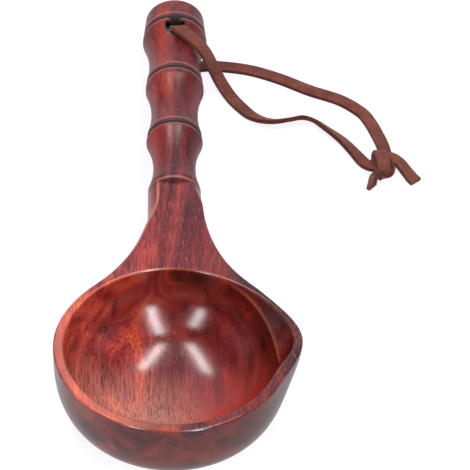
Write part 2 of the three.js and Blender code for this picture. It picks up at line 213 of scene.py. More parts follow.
def smooth(t):
    """A soft step from 0 to 1."""
    c = clamp01(t)
    return c * c * (3 - 2 * c)


def swell(offset, run):
    """A smooth hump, 1 in its middle and 0 from one run away."""
    return 0.5 + 0.5 * np.cos(np.pi * clamp01(np.abs(offset) / run))


def resample(points, start, stop, count):
    """Evenly spaced points along a line, from start after its first point to stop before its last."""
    steps = np.linalg.norm(np.diff(points, axis=0), axis=1)
    run = np.concatenate([[0], np.cumsum(steps)])
    at = np.linspace(start, run[-1] - stop, count)
    return np.stack([np.interp(at, run, points[:, i]) for i in range(3)], axis=1)


def arc(start, corner, end, count):
    """Points inside a rounded corner, without its two ends."""
    t = np.linspace(0, 1, count + 2)[1:-1, None]
    return (1 - t) ** 2 * start + 2 * t * (1 - t) * corner + t ** 2 * end


def rested(points):
    """From the ladle with its rim level to the ladle on the table."""
    x, y, z = np.asarray(points, float).T
    c, s = math.cos(REST_TILT), math.sin(REST_TILT)
    return np.stack([
        x - REST_MIDDLE[0],
        y * c + z * s - REST_MIDDLE[1],
        z * c - y * s + REST_LIFT,
    ], axis=1)


# Bowl, lip, shoulder and neck, as columns that run from the middle of the hollow up over the rim and
# down the outside

def axis_height(y):
    """How high the handle's axis, drawn on, lies against the rim."""
    return (y - FLAT_START) * math.tan(HANDLE_PITCH) - FLAT_HEIGHT / math.cos(HANDLE_PITCH)


def top_height(y):
    """How high the top face lies: level at the rim, then a flat that rises with the handle."""
    rise = (y - FLAT_START) * math.tan(HANDLE_PITCH)
    return (rise + np.sqrt(rise ** 2 + FLAT_BLEND ** 2)) / 2 - FLAT_BLEND / 16


def flare_start():
    """Where the flare to the neck leaves the bowl's round without a corner."""
    low, high = 0, BOWL_RADIUS
    for _ in range(HALVINGS):
        y = (low + high) / 2
        width = math.sqrt(BOWL_RADIUS ** 2 - y ** 2)
        if NECK_RADIUS + y * (FLARE_END - y) / (2 * width) < width:
            low = y
        else:
            high = y
    return low


FLARE_START = flare_start()
FLARE_WIDTH = math.sqrt(BOWL_RADIUS ** 2 - FLARE_START ** 2)


def half_width(y):
    """Half the width of the bowl, of the flare or of the neck."""
    if y < FLARE_START:
        return math.sqrt(BOWL_RADIUS ** 2 - y ** 2)
    left = clamp01((FLARE_END - y) / (FLARE_END - FLARE_START))
    return NECK_RADIUS + (FLARE_WIDTH - NECK_RADIUS) * left ** 2


def lip_swell(y, depth):
    """How far the lip stands out at a distance below the rim."""
    return LIP_REACH * swell(y - LIP_AT, LIP_RUN) * swell(depth, LIP_DROP)


def shoulder_rib(y, side):
    """One side of a section square to Y, from the edge of the flat round to the keel."""
    neck = smooth((y - KEEL_START) / (KEEL_END - KEEL_START))
    depth = BOWL_DEPTH + (FLAT_HEIGHT + NECK_RADIUS - BOWL_DEPTH) * neck
    start, end = (LIP_FLANK_START, LIP_FLANK_END) if side > 0 else (FLANK_START, FLANK_END)
    rounding = smooth((y - start) / (end - start))
    flank = math.asin(FLAT_HEIGHT / NECK_RADIUS) * rounding
    belt = NECK_RADIUS * math.sin(flank)
    exponent = 2 / (BOWL_POWER + (2 - BOWL_POWER) * neck)
    angle = flank - (flank + np.pi / 2) * np.linspace(0, 1, DENSE) ** RIB_POWER
    cos, sin = np.maximum(0, np.cos(angle)), np.sin(angle)
    down = angle < 0
    at, run, reach = LIP_FLANK if side > 0 else PLAIN_FLANK
    width = half_width(y) + reach * swell(y - at, run)
    across = width * np.where(down, cos ** exponent, cos)
    fall = np.where(
        down,
        belt + (depth - belt) * np.maximum(0, -sin) ** exponent,
        belt - NECK_RADIUS * sin,
    )
    across[-1] = 0
    lip = lip_swell(y, fall) if side > 0 else 0
    middle = HANDLE_OFFSET * smooth(y / FLARE_END)
    x = middle + side * across + lip
    return np.stack([x, np.full(DENSE, y), top_height(y) - fall], axis=1)


def front_rib(angle):
    """A section of the round front of the bowl, from the rim down to the middle of its base."""
    turn = np.pi / 2 * np.linspace(0, 1, DENSE) ** RIB_POWER
    reach = BOWL_RADIUS * np.maximum(0, np.cos(turn)) ** (2 / BOWL_POWER)
    fall = BOWL_DEPTH * np.sin(turn) ** (2 / BOWL_POWER)
    reach[-1] = 0
    x, y = reach * math.cos(angle), reach * math.sin(angle)
    lip = lip_swell(y, fall) * smooth(x / (BOWL_RADIUS / 2))
    return np.stack([x + lip, y, top_height(y) - fall], axis=1)


def neck_ribs(first, last):
    """Straight lines down the neck's end face, which the handle's collar covers."""
    ribs = []
    for t in np.linspace(0, 1, NECK_COLUMNS + 2)[1:-1]:
        top = first[0] + (last[0] - first[0]) * t
        ribs.append(top + (first[-1] - top) * np.linspace(0, 1, DENSE)[:, None])
    return ribs


def trough_share(x, y):
    """How much of the trough's full depth and reach it has at a place on the hollow."""
    run = np.where(y < LIP_AT, TROUGH_FRONT_RUN, TROUGH_BACK_RUN)
    return swell(y - LIP_AT, run) * smooth(x / (BOWL_RADIUS / 2))


def hollow_rib(angle):
    """The hollow's wall at one angle, from the middle of its floor up to the rim."""
    turn = np.pi / 2 * np.linspace(1, 0, DENSE) ** RIB_POWER
    reach = (BOWL_RADIUS - RIM_WIDTH) * np.maximum(0, np.cos(turn)) ** (2 / HOLLOW_POWER)
    fall = (BOWL_DEPTH - FLOOR_THICKNESS) * np.sin(turn) ** (2 / HOLLOW_POWER)
    reach[0] = 0
    x, y = reach * math.cos(angle), reach * math.sin(angle)
    flare = TROUGH_REACH * np.maximum(0, trough_share(x, y) - fall / TROUGH_DEPTH)
    return np.stack([x + flare, y, top_height(y) - fall], axis=1)


def inward(loop):
    """The level direction into a loop of points that runs clockwise, seen from above."""
    along = np.roll(loop, -1, axis=0) - np.roll(loop, 1, axis=0)
    normal = np.stack([along[:, 1], -along[:, 0]], axis=1)
    return normal / np.linalg.norm(normal, axis=1)[:, None]


def set_in(points, direction):
    """Points on the top face, set in from an edge by the edge's rounding."""
    level = points[:, :2] + direction * EDGE_ROUND
    return np.column_stack([level, top_height(level[:, 1])])


def pale_crease(points):
    """How pale the crease between the round hollow and the trough is drawn."""
    x, y, z = points.T
    share = trough_share(x, y)
    below_crease = top_height(y) - z - TROUGH_DEPTH * share
    return CREASE_PALENESS * smooth(2 * share) * swell(below_crease, CREASE_WIDTH)


def bowl_ribs():
    """The outside all round, from the lip's side of the neck over the front to the other side of the neck."""
    end = NECK_LENGTH + COLLAR_LENGTH / 2
    stations = end * np.linspace(0, 1, SHOULDER_COLUMNS + 1)[1:]
    ribs = [shoulder_rib(y, 1) for y in stations[::-1]]
    ribs += [front_rib(-np.pi * t) for t in np.linspace(0, 1, FRONT_COLUMNS + 1)]
    ribs += [shoulder_rib(y, -1) for y in stations]
    return ribs + neck_ribs(ribs[-1], ribs[0])


def bowl_columns(ribs):
    """Columns of points up the hollow, over the top face and down the outside, with both edges rounded."""
    outer = np.array([rib[0] for rib in ribs])
    hollows = [hollow_rib(math.atan2(y, x)) for x, y, _ in outer]
    inner = np.array([rib[-1] for rib in hollows])
    outer_top = set_in(outer, inward(outer))
    inner_top = set_in(inner, -inward(inner))
    columns = []
    for i, rib in enumerate(ribs):
        inside = resample(hollows[i], 0, EDGE_ROUND, HOLLOW_ROWS)
        t = np.linspace(0, 1, TOP_ROWS)[:, None]
        top = inner_top[i] + (outer_top[i] - inner_top[i]) * t
        top[:, 2] = top_height(top[:, 1])
        wall = resample(rib, EDGE_ROUND, 0, WALL_ROWS)
        columns.append(np.concatenate([
            inside,
            arc(inside[-1], inner[i], top[0], ROUND_ROWS),
            top,
            arc(top[-1], outer[i], wall[0], ROUND_ROWS),
            wall,
        ]))
    return np.array(columns)


def bowl_marks(ribs, columns):
    """Which points lie in the hollow, on the outside and on the shoulder, and how far each is drawn pale,
    partly worn and partly painted highlight on the left.
    """
    inner_edge = slice(HOLLOW_ROWS, HOLLOW_ROWS + ROUND_ROWS)
    top = slice(inner_edge.stop, inner_edge.stop + TOP_ROWS)
    outer_edge = slice(top.stop, top.stop + ROUND_ROWS)
    hollow, outside_wall, shoulder, wear_and_highlight = np.zeros((4, *columns.shape[:2]))
    hollow[:, :HOLLOW_ROWS] = 1
    for i, rib in enumerate(ribs):
        x, y, _ = rib[0]
        left = smooth(0.5 - x / BOWL_RADIUS)
        flat = smooth(y / FLAT_START)
        neck = smooth((y - FLAT_START) / (FLANK_START - FLAT_START))
        outside_wall[i, outer_edge.stop:] = 1 - neck
        shoulder[i, top] = flat * (1 - neck)
        wear_and_highlight[i, :HOLLOW_ROWS] = pale_crease(columns[i, :HOLLOW_ROWS])
        # Edges drawn pale: a little worn on the inner edge, painted highlights that grow towards the left
        wear_and_highlight[i, inner_edge] = WORN_INNER_EDGE + left * (LEFT_EDGE_HIGHLIGHT + FLAT_EDGE_HIGHLIGHT * flat)
        wear_and_highlight[i, top] = RIM_HIGHLIGHT * left ** 2 * (1 - flat)
        wear_and_highlight[i, outer_edge] = OUTER_EDGE_HIGHLIGHT * left
        # Painted highlight along the neck's left edge, below the collar
        if x < 0:
            below_collar = smooth((NECK_LENGTH - y) / COLLAR_LENGTH)
            wear_and_highlight[i, outer_edge] += NECK_EDGE_HIGHLIGHT * below_collar * neck
    return {"wear_and_highlight": wear_and_highlight, "hollow": hollow, "outside_wall": outside_wall, "shoulder": shoulder}


def bowl_mesh():
    """The closed bowl, shoulder and neck on the table, flat where it stands, with its marks."""
    ribs = bowl_ribs()
    columns = bowl_columns(ribs)
    count, rows, _ = columns.shape
    points = rested(columns.reshape(-1, 3))
    points[:, 2] = np.maximum(points[:, 2], 0)
    faces = []
    for i in range(count):
        here, there = i * rows, (i + 1) % count * rows
        faces += [(here + r, here + r + 1, there + r + 1, there + r) for r in range(rows - 1)]
    mesh = bpy.data.meshes.new("bowl")
    mesh.from_pydata((points * MM).tolist(), [], faces)
    for mark, values in bowl_marks(ribs, columns).items():
        mesh.attributes.new(mark, "FLOAT", "POINT").data.foreach_set("value", values.ravel())
    work = bmesh.new()
    work.from_mesh(mesh)
    bmesh.ops.remove_doubles(work, verts=work.verts, dist=MERGE_DISTANCE * MM)
    bmesh.ops.dissolve_degenerate(work, edges=work.edges, dist=LEAST_EDGE * MM)
    bmesh.ops.recalc_face_normals(work, faces=work.faces)
    work.to_mesh(mesh)
    work.free()
    return mesh


# Turned forms: a circle along a straight line, scaled by each point's radius

def turning_tree(material):
    tree = bpy.data.node_groups.new("turned_form", "GeometryNodeTree")
    tree.interface.new_socket("Line", in_out="INPUT", socket_type="NodeSocketGeometry")
    sides = tree.interface.new_socket("Sides", in_out="INPUT", socket_type="NodeSocketInt")
    tree.interface.new_socket("Form", in_out="OUTPUT", socket_type="NodeSocketGeometry")
    given = add_node(tree, "NodeGroupInput").outputs
    line = add_node(tree, "GeometryNodeMeshToCurve", {"Mesh": given["Line"]})
    radius = add_node(
        tree, "GeometryNodeInputNamedAttribute", {"Name": "turned_radius"}, data_type="FLOAT",
    )
    circle = add_node(tree, "GeometryNodeCurvePrimitiveCircle", {
        "Resolution": given["Sides"],
        "Radius": 1.0,
    })
    swept = add_node(tree, "GeometryNodeCurveToMesh", {
        "Curve": line.outputs[0],
        "Profile Curve": circle.outputs[0],
        "Scale": radius.outputs[0],
        "Fill Caps": True,
    })
    real = add_node(tree, "GeometryNodeRealizeInstances", {"Geometry": swept.outputs[0]})
    dressed = add_node(tree, "GeometryNodeSetMaterial", {
        "Geometry": real.outputs[0],
        "Material": material,
    })
    add_node(tree, "NodeGroupOutput", {"Form": dressed.outputs[0]})
    return tree, sides.identifier


def turned_object(name, places, radii, sides, turning):
    """A form turned about a straight line of places, with a radius at each."""
    line = bpy.data.meshes.new(name + "_line")
    line.from_pydata(places.tolist(), [(i, i + 1) for i in range(len(places) - 1)], [])
    line.attributes.new("turned_radius", "FLOAT", "POINT").data.foreach_set("value", radii)
    thing = new_object(name, line)
    tree, sides_socket = turning
    modifier = thing.modifiers.new("turned", "NODES")
    modifier.node_group = tree
    modifier[sides_socket] = sides
    return new_object(name, baked(thing))


NODES = list(NECK_LENGTH + np.cumsum([length for length, _, _, _ in INTERNODES]))
HANDLE_LENGTH = NODES[-1] + TAIL_LENGTH
HOLE_AT = NODES[-1] - HOLE_SETBACK


def softened(outline, radius):
    """An outline with its corners rounded, where its lengths leave room."""
    points = np.array(outline, float)
    soft = [points[:1]]
    for before, corner, after in zip(points[:-2], points[1:-1], points[2:]):
        back, on = before - corner, after - corner
        back_length, on_length = np.linalg.norm(back), np.linalg.norm(on)
        if back @ on < -STRAIGHT * back_length * on_length:
            soft.append(corner[None])
            continue
        reach = min(radius, CORNER_SHARE * back_length, CORNER_SHARE * on_length)
        start = corner + back / back_length * reach
        end = corner + on / on_length * reach
        soft += [start[None], arc(start, corner, end, 2), end[None]]
    return np.concatenate(soft + [points[-1:]])


def handle_outline():
    """The turned outline, as distance along the handle and radius."""
    core = FLAT_HEIGHT - CORE_INSET
    outline = [
        (NECK_LENGTH - COLLAR_LENGTH, core),
        (NECK_LENGTH - COLLAR_SLANT, core),
        (NECK_LENGTH, COLLAR_RADIUS),
        (NECK_LENGTH + COLLAR_LENGTH, COLLAR_RADIUS),
    ]
    start, start_radius = NECK_LENGTH + COLLAR_LENGTH, COLLAR_RADIUS
    for groove, (_, waist, belly, ring) in zip(NODES, INTERNODES):
        stop = groove - belly
        sag = (start_radius + ring) / 2 - waist
        for t in np.linspace(0, 1, WAIST_STEPS + 1)[1:]:
            outline.append((
                start + (stop - start) * t,
                start_radius + (ring - start_radius) * t - 4 * sag * t * (1 - t),
            ))
        outline += [
            (groove - GROOVE_WIDTH / 2, ring),
            (groove, ring - GROOVE_DEPTH),
            (groove + GROOVE_WIDTH / 2, ring - GROOVE_DEPTH / 3),
            (groove + RING_LIP, ring - GROOVE_DEPTH / 2),
        ]
        start, start_radius = groove + RING_LIP, ring - GROOVE_DEPTH / 2
    for turn in np.linspace(0, np.pi / 2, END_STEPS):
        outline.append((
            HANDLE_LENGTH - END_ROUND + END_ROUND * math.sin(turn),
            TAIL_RADIUS - END_ROUND + END_ROUND * math.cos(turn),
        ))
    return softened(outline, TURNING_ROUND)


def on_handle(along, up=0):
    """Places along the handle's axis and up from it, as they lie on the table."""
    along = np.asarray(along, float)
    c, s = math.cos(HANDLE_PITCH), math.sin(HANDLE_PITCH)
    return rested(np.stack([
        np.full_like(along, HANDLE_OFFSET),
        along * c - up * s,
        axis_height(0) + along * s + up * c,
    ], axis=1))


def turned_handle(turning):
    outline = handle_outline()
    places = on_handle(outline[:, 0])
    return turned_object("handle", places * MM, outline[:, 1] * MM, TURNED_SIDES, turning)


def drilled_hole(turning):
    """The drill's form: the bore of the hole, and a soft chamfer at both mouths that opens past the wood."""
    radius = HOLE_DIAMETER / 2
    mouth = INTERNODES[-1][3] - HOLE_CHAMFER / 2
    past = HOLE_DIAMETER
    half = [(mouth - HOLE_CHAMFER, radius), (mouth + past, radius + HOLE_CHAMFER + past)]
    outline = softened([(-h, r) for h, r in half[::-1]] + half, 2 * HOLE_CHAMFER)
    places = np.concatenate([on_handle([HOLE_AT], up=h) for h in outline[:, 0]])
    return turned_object("hole", places * MM, outline[:, 1] * MM, TURNED_SIDES // 2, turning)


def ladle_body(wood):
    """Bowl and handle as one piece of wood, with the hole drilled through the handle's end."""
    bowl = new_object("ladle", bowl_mesh())
    bowl.data.materials.append(wood)
    turning = turning_tree(wood)
    tools = [("UNION", turned_handle(turning)), ("DIFFERENCE", drilled_hole(turning))]
    for operation, tool in tools:
        cut = bowl.modifiers.new(operation.lower(), "BOOLEAN")
        cut.operation = operation
        cut.solver = "MANIFOLD"
        cut.object = tool
    mesh = baked(bowl)
    for _, tool in tools:
        bpy.data.objects.remove(tool)
    mesh.shade_smooth()
    mesh.set_sharp_from_angle(angle=WOOD_EDGE_ANGLE)
    return new_object("ladle", mesh)


# Lace: the routes of its two runs, laid out from the table below the hole

HOLE = on_handle([HOLE_AT])[0]


def place(x, y, z, face):
    """A place on the lace's middle line, its height from the table, and the way that the flat side looks."""
    return np.array([x, y, z], float), np.array(face, float)


def on_table(points):
    """Places on the table, each [x, y, degrees that the strip leans to the left of its run]."""
    route = []
    for i, (x, y, lean) in enumerate(points):
        before, after = points[max(0, i - 1)], points[min(len(points) - 1, i + 1)]
        left = np.array([before[1] - after[1], after[0] - before[0]])
        left = left / max(1e-9, np.linalg.norm(left)) * math.sin(lean * DEG)
        height = (LACE_WIDTH * math.sin(lean * DEG) + LACE_THICKNESS * math.cos(lean * DEG)) / 2
        route.append(place(x, y, height + TABLE_GAP, [*left, math.cos(lean * DEG)]))
    return route


UPPER_ROUTE = [
    place(0, 0, HOLE[2], [-0.87, 0.5, 0]),
    place(0, -1.2, 23, [-0.4, 0.9, 0]),
    place(0, -1.6, 28.4, [-0.2, 0.97, 0.1]),
    place(0.6, -2.5, 30.9, [0, 0.6, 0.76]),
    place(2.4, -4.6, 31.9, [0.1, 0, 1]),
    place(5, -6.6, 31.4, [0.35, -0.2, 0.9]),
    place(9.4, -8.6, 28.4, [0.6, -0.4, 0.7]),
    place(13.6, -9.6, 22.4, [0.75, -0.6, 0.35]),
    place(16.9, -9.8, 14.4, [0.68, -0.68, 0.3]),
    place(20.2, -11, 7, [0.5, -0.6, 0.6]),
    place(23.5, -14.4, 3.2, [0.25, -0.3, 0.92]),
    *on_table([
        [26.5, -17.7, 0],
        [30, -22.6, 3],
        [34.1, -27.7, 14],
        [38.9, -31, 30],
        [44.6, -32.2, 42],
        [51.3, -31.1, 48],
        [57, -29.8, 49],
        [62, -31.6, 49],
        [66.8, -35.8, 45],
        [73.7, -42.5, 32],
        [78.6, -49, 22],
    ]),
    place(82, -54.7, 2.4, [0.1, 0.2, 0.97]),
    place(84, -57.6, 3, [0.1, 0.1, 0.99]),
    place(87, -59.2, 3.5, [0.1, 0.1, 0.99]),
    place(90.6, -57, 3.9, [0, 0, 1]),
    place(94, -55.4, 5, [0, 0, 1]),
    place(98, -57, 4, [0.1, 0.1, 0.97]),
    place(101.4, -60.6, 2, [0.1, 0.1, 0.97]),
    *on_table([
        [103.7, -63.8, 0],
        [105.2, -65.8, 0],
    ]),
]
UPPER_INTO_KNOT = 23

LOWER_ROUTE = [
    place(0, 0, HOLE[2], [0.87, -0.5, 0]),
    place(0, 0, 10, [0.95, -0.2, 0]),
    place(0, 0, 5, [0.98, 0.17, 0.1]),
    place(0.9, 0.2, 2.2, [0.7, 0.15, 0.7]),
    *on_table([
        [3.2, 0.8, 0],
        [12.9, 3.4, 0],
        [20.6, 3.4, 0],
        [34.2, 1.2, 0],
        [47.7, -4.1, 0],
        [61, -11.2, 0],
        [74.3, -17, 0],
        [83.3, -24.3, 0],
        [87.1, -30.6, 0],
        [90.2, -38.9, 0],
    ]),
    place(91.8, -45, 1.7, [0.05, 0.1, 0.99]),
    place(93, -51, 1.9, [0.25, 0, 0.95]),
    place(95, -57, 3.2, [0.85, 0.1, 0.45]),
    place(94.7, -61.4, 3.1, [0.9, -0.4, 0]),
    place(92.2, -64.4, 3.1, [0.15, -0.76, -0.6]),
    place(88.8, -63, 3.1, [-0.9, -0.4, 0.1]),
    place(87.6, -58.8, 3.15, [-0.9, 0, -0.4]),
    place(88.6, -54.4, 3.4, [-0.3, 0.8, -0.4]),
    place(89.5, -52.6, 5.2, [-0.1, 1, 0.2]),
    place(90, -54.8, 7.1, [0, 0.4, 1]),
    place(90.7, -59.4, 7.4, [0, 0, 1]),
    place(91.3, -62.9, 6.2, [0, -0.6, 0.8]),
    place(91.2, -63.6, 3.6, [0, -1, 0]),
    place(89.4, -63.2, 1.8, [-0.2, -0.3, -0.9]),
    place(87.6, -64.2, 2.4, [0.5, -0.2, -0.8]),
    place(86.3, -66.8, 2.9, [0.85, 0, -0.5]),
    place(85.4, -70.6, 2.9, [0.85, 0, -0.5]),
]
LOWER_INTO_KNOT = 15


def smooth_line(points, spans):
    """A smooth line through points, at places counted in spans from the first."""
    ends = np.concatenate([[2 * points[0] - points[1]], points, [2 * points[-1] - points[-2]]])
    i = np.minimum(spans.astype(int), len(points) - 2)
    t = (spans - i)[:, None]
    a, b, c, d = ends[i], ends[i + 1], ends[i + 2], ends[i + 3]
    square = 2 * a - 5 * b + 4 * c - d
    cube = 3 * b - a - 3 * c + d
    return (2 * b + (c - a) * t + square * t ** 2 + cube * t ** 3) / 2


def strip_line(route, first, last):
    """The middle line of a stretch of lace and its faces, set square to the line."""
    spans = np.linspace(first, last, (last - first) * SPAN_STEPS + 1)
    points = smooth_line(np.array([at for at, _ in route]), spans)
    faces = smooth_line(np.array([face for _, face in route]), spans)
    along = np.gradient(points, axis=0)
    along /= np.linalg.norm(along, axis=1)[:, None]
    faces -= along * np.sum(faces * along, axis=1)[:, None]
    faces /= np.linalg.norm(faces, axis=1)[:, None]
    return (points + [HOLE[0], HOLE[1], 0]) * MM, faces


def lace_tree(material):
    tree = bpy.data.node_groups.new("lace_strip", "GeometryNodeTree")
    sockets = {}
    tree.interface.new_socket("Line", in_out="INPUT", socket_type="NodeSocketGeometry")
    for name in ("Width", "Thickness", "Corner"):
        socket = tree.interface.new_socket(name, in_out="INPUT", socket_type="NodeSocketFloat")
        sockets[name] = socket.identifier
    tree.interface.new_socket("Strip", in_out="OUTPUT", socket_type="NodeSocketGeometry")
    given = add_node(tree, "NodeGroupInput").outputs
    line = add_node(tree, "GeometryNodeMeshToCurve", {"Mesh": given["Line"]})
    face = add_node(tree, "GeometryNodeInputNamedAttribute", {"Name": "face"}, data_type="FLOAT_VECTOR")
    turned = add_node(tree, "GeometryNodeSetCurveNormal", {
        "Curve": line.outputs[0],
        "Normal": face.outputs[0],
    }, mode="FREE")
    section = add_node(tree, "GeometryNodeCurvePrimitiveQuadrilateral", {
        "Width": given["Thickness"],
        "Height": given["Width"],
    })
    rounded = add_node(tree, "GeometryNodeFilletCurve", {
        "Curve": section.outputs[0],
        "Radius": given["Corner"],
        "Count": CORNER_STEPS,
    }, mode="POLY")

    # How far across the strip a point lies, from -1 at one edge to 1 at the other
    position = add_node(tree, "GeometryNodeInputPosition")
    parts = add_node(tree, "ShaderNodeSeparateXYZ", {"Vector": position.outputs[0]})
    half = add_node(tree, "ShaderNodeMath", {0: given["Width"], 1: 0.5}, operation="MULTIPLY")
    share = add_node(tree, "ShaderNodeMath", {
        0: parts.outputs["Y"],
        1: half.outputs[0],
    }, operation="DIVIDE")
    marked = add_node(tree, "GeometryNodeStoreNamedAttribute", {
        "Geometry": rounded.outputs[0],
        "Name": "across",
        "Value": share.outputs[0],
    }, data_type="FLOAT", domain="POINT")

    swept = add_node(tree, "GeometryNodeCurveToMesh", {
        "Curve": turned.outputs[0],
        "Profile Curve": marked.outputs[0],
        "Fill Caps": True,
    })
    real = add_node(tree, "GeometryNodeRealizeInstances", {"Geometry": swept.outputs[0]})
    dressed = add_node(tree, "GeometryNodeSetMaterial", {
        "Geometry": real.outputs[0],
        "Material": material,
    })
    add_node(tree, "NodeGroupOutput", {"Strip": dressed.outputs[0]})
    return tree, sockets


def lace_strip(name, lines, tree, sockets):
    """A piece of lace made of one or more stretches, each a middle line with its faces."""
    points = np.concatenate([line for line, _ in lines])
    faces = np.concatenate([face for _, face in lines])
    edges = []
    start = 0
    for line, _ in lines:
        edges += [(start + i, start + i + 1) for i in range(len(line) - 1)]
        start += len(line)
    mesh = bpy.data.meshes.new(name + "_line")
    mesh.from_pydata(points.tolist(), edges, [])
    mesh.attributes.new("face", "FLOAT_VECTOR", "POINT").data.foreach_set("vector", faces.ravel())
    thing = new_object(name, mesh)
    modifier = thing.modifiers.new("lace", "NODES")
    modifier.node_group = tree
    modifier[sockets["Width"]] = LACE_WIDTH * MM
    modifier[sockets["Thickness"]] = LACE_THICKNESS * MM
    modifier[sockets["Corner"]] = LACE_CORNER * MM
    strip = baked(thing)
    strip.shade_smooth()
    strip.set_sharp_from_angle(angle=LACE_EDGE_ANGLE)
    return new_object(name, strip)


# Materials. Each pattern has the size of its marks in millimetres along X, Y and Z. Real pores, flecks and
# nap are finer than these, which are drawn as coarse as they need to be to show.

FIGURE = {"sizes": (11, 75, 11), "detail": 2, "roughness": 0.5, "distortion": 0.9, "seed": 1}
STREAKS = {"sizes": (1.7, 50, 1.7), "detail": 4, "roughness": 0.6, "distortion": 0.4, "seed": 2}
FIBRES = {"sizes": (0.6, 10, 0.6), "detail": 3, "roughness": 0.6, "distortion": 0, "seed": 3}
PORES = {"sizes": (0.55, 5, 0.55), "detail": 2, "roughness": 0.5, "distortion": 0, "seed": 4}
FLECKS = {"sizes": (0.5, 4.5, 0.5), "detail": 2, "roughness": 0.5, "distortion": 0, "seed": 5}
NAP = {"sizes": (0.7, 0.7, 0.7), "detail": 3, "roughness": 0.7, "distortion": 0, "seed": 6}
BRUSHED = {"sizes": (7, 7, 7), "detail": 2, "roughness": 0.5, "distortion": 0, "seed": 7}
SEED_SHIFT = (17.3, 5.1, 11.7)
STREAK_STRENGTH = 0.65
FIBRE_STRENGTH = 0.75
NAP_STRENGTH = 0.8
# Painted shade in the bore of the hole, between these distances from its axis
BORE_SHADE_START = HOLE_DIAMETER / 2 + 0.4
BORE_SHADE_END = HOLE_DIAMETER / 2 + 1

# Sockets of a colour mix, which share their names with those of its other kinds
MIX_UNDER = 6
MIX_OVER = 7
MIX_RESULT = 2

# Marks along the handle: (millimetres past the collar's face or past a groove, amount)
BOWL_GLOSS = 0.19
HANDLE_SATIN = 0.36
GROOVE_MATTE = 0.85
ROUGH_AT_COLLAR = [(-COLLAR_LENGTH, BOWL_GLOSS), (0, HANDLE_SATIN)]
ROUGH_AT_GROOVE = [(-1.3, HANDLE_SATIN), (-0.9, GROOVE_MATTE), (0.8, GROOVE_MATTE), (1.3, HANDLE_SATIN)]
# Painted shade: darker and redder along the handle, deepest just before each groove
RING_SHADE_AT_COLLAR = [(-1, 0), (0, 0.5)]
RING_SHADE_AT_GROOVE = [(-15, 0.5), (-2, 0.9), (2, 0.5)]
# Painted shadow on the flat under the collar's step; the grooves drawn dark
STEP_SHADOW_AT_COLLAR = [(-2.8, 0), (-1.2, 0.25), (-0.3, 0.6), (0.05, 0.7), (0.2, 0)]
DARK_AT_GROOVE = [(-1.1, 0), (-0.8, 1), (0.6, 1), (1, 0.6), (2.2, 0.5), (2.5, 0)]
# Edges of the collar and grooves paler, partly worn and partly painted highlight
WORN_AND_LIT_AT_COLLAR = [(0.1, 0), (0.3, 0.55), (0.8, 0.5), (1.3, 0)]
WORN_AND_LIT_AT_GROOVE = [
    (-1.9, 0), (-1.5, 0.4), (-1.1, 0.4), (-0.9, 0),
    (2.4, 0), (2.7, 0.5), (3.1, 0.5), (3.6, 0),
]
# Painted glint: an orange-red stripe on the first internode's left flank
GLINT_AT_COLLAR = [(4, 0), (14, 1), (INTERNODES[0][0] - 2, 1), (INTERNODES[0][0], 0)]


def shader(name):
    material = bpy.data.materials.new(name)
    material.use_nodes = True
    tree = material.node_tree
    return material, tree, tree.nodes["Principled BSDF"]


def pattern(tree, sizes, detail, roughness, distortion, seed):
    """A soft random pattern that is fixed to the piece."""
    coordinates = add_node(tree, "ShaderNodeTexCoord")
    mapping = add_node(tree, "ShaderNodeMapping", {
        "Vector": coordinates.outputs["Object"],
        "Location": [shift * seed for shift in SEED_SHIFT],
        "Scale": [1 / (MM * size) for size in sizes],
    })
    marks = add_node(tree, "ShaderNodeTexNoise", {
        "Vector": mapping.outputs[0],
        "Scale": 1,
        "Detail": detail,
        "Roughness": roughness,
        "Distortion": distortion,
    })
    return marks.outputs["Fac"]


def grey(value):
    return [value, value, value, 1]


def handle_marks(tree, at_collar, at_groove=()):
    """A value that follows the distance along the handle, the same at each groove."""
    marks = [(NECK_LENGTH + past, value) for past, value in at_collar]
    marks += [(groove + past, value) for groove in NODES for past, value in at_groove]
    foot, way = on_handle([0])[0], (on_handle([1]) - on_handle([0]))[0]
    start = NECK_LENGTH - COLLAR_LENGTH
    coordinates = add_node(tree, "ShaderNodeTexCoord")
    along = add_node(tree, "ShaderNodeVectorMath", {
        0: coordinates.outputs["Object"],
        1: list(way / MM),
    }, operation="DOT_PRODUCT")
    share = add_node(tree, "ShaderNodeMapRange", {
        "Value": along.outputs["Value"],
        "From Min": float(start + foot @ way),
        "From Max": float(HANDLE_LENGTH + foot @ way),
    })
    return add_node(tree, "ShaderNodeValToRGB", {"Fac": share.outputs[0]}, stops=[
        ((at - start) / (HANDLE_LENGTH - start), grey(value)) for at, value in marks
    ]).outputs[0]


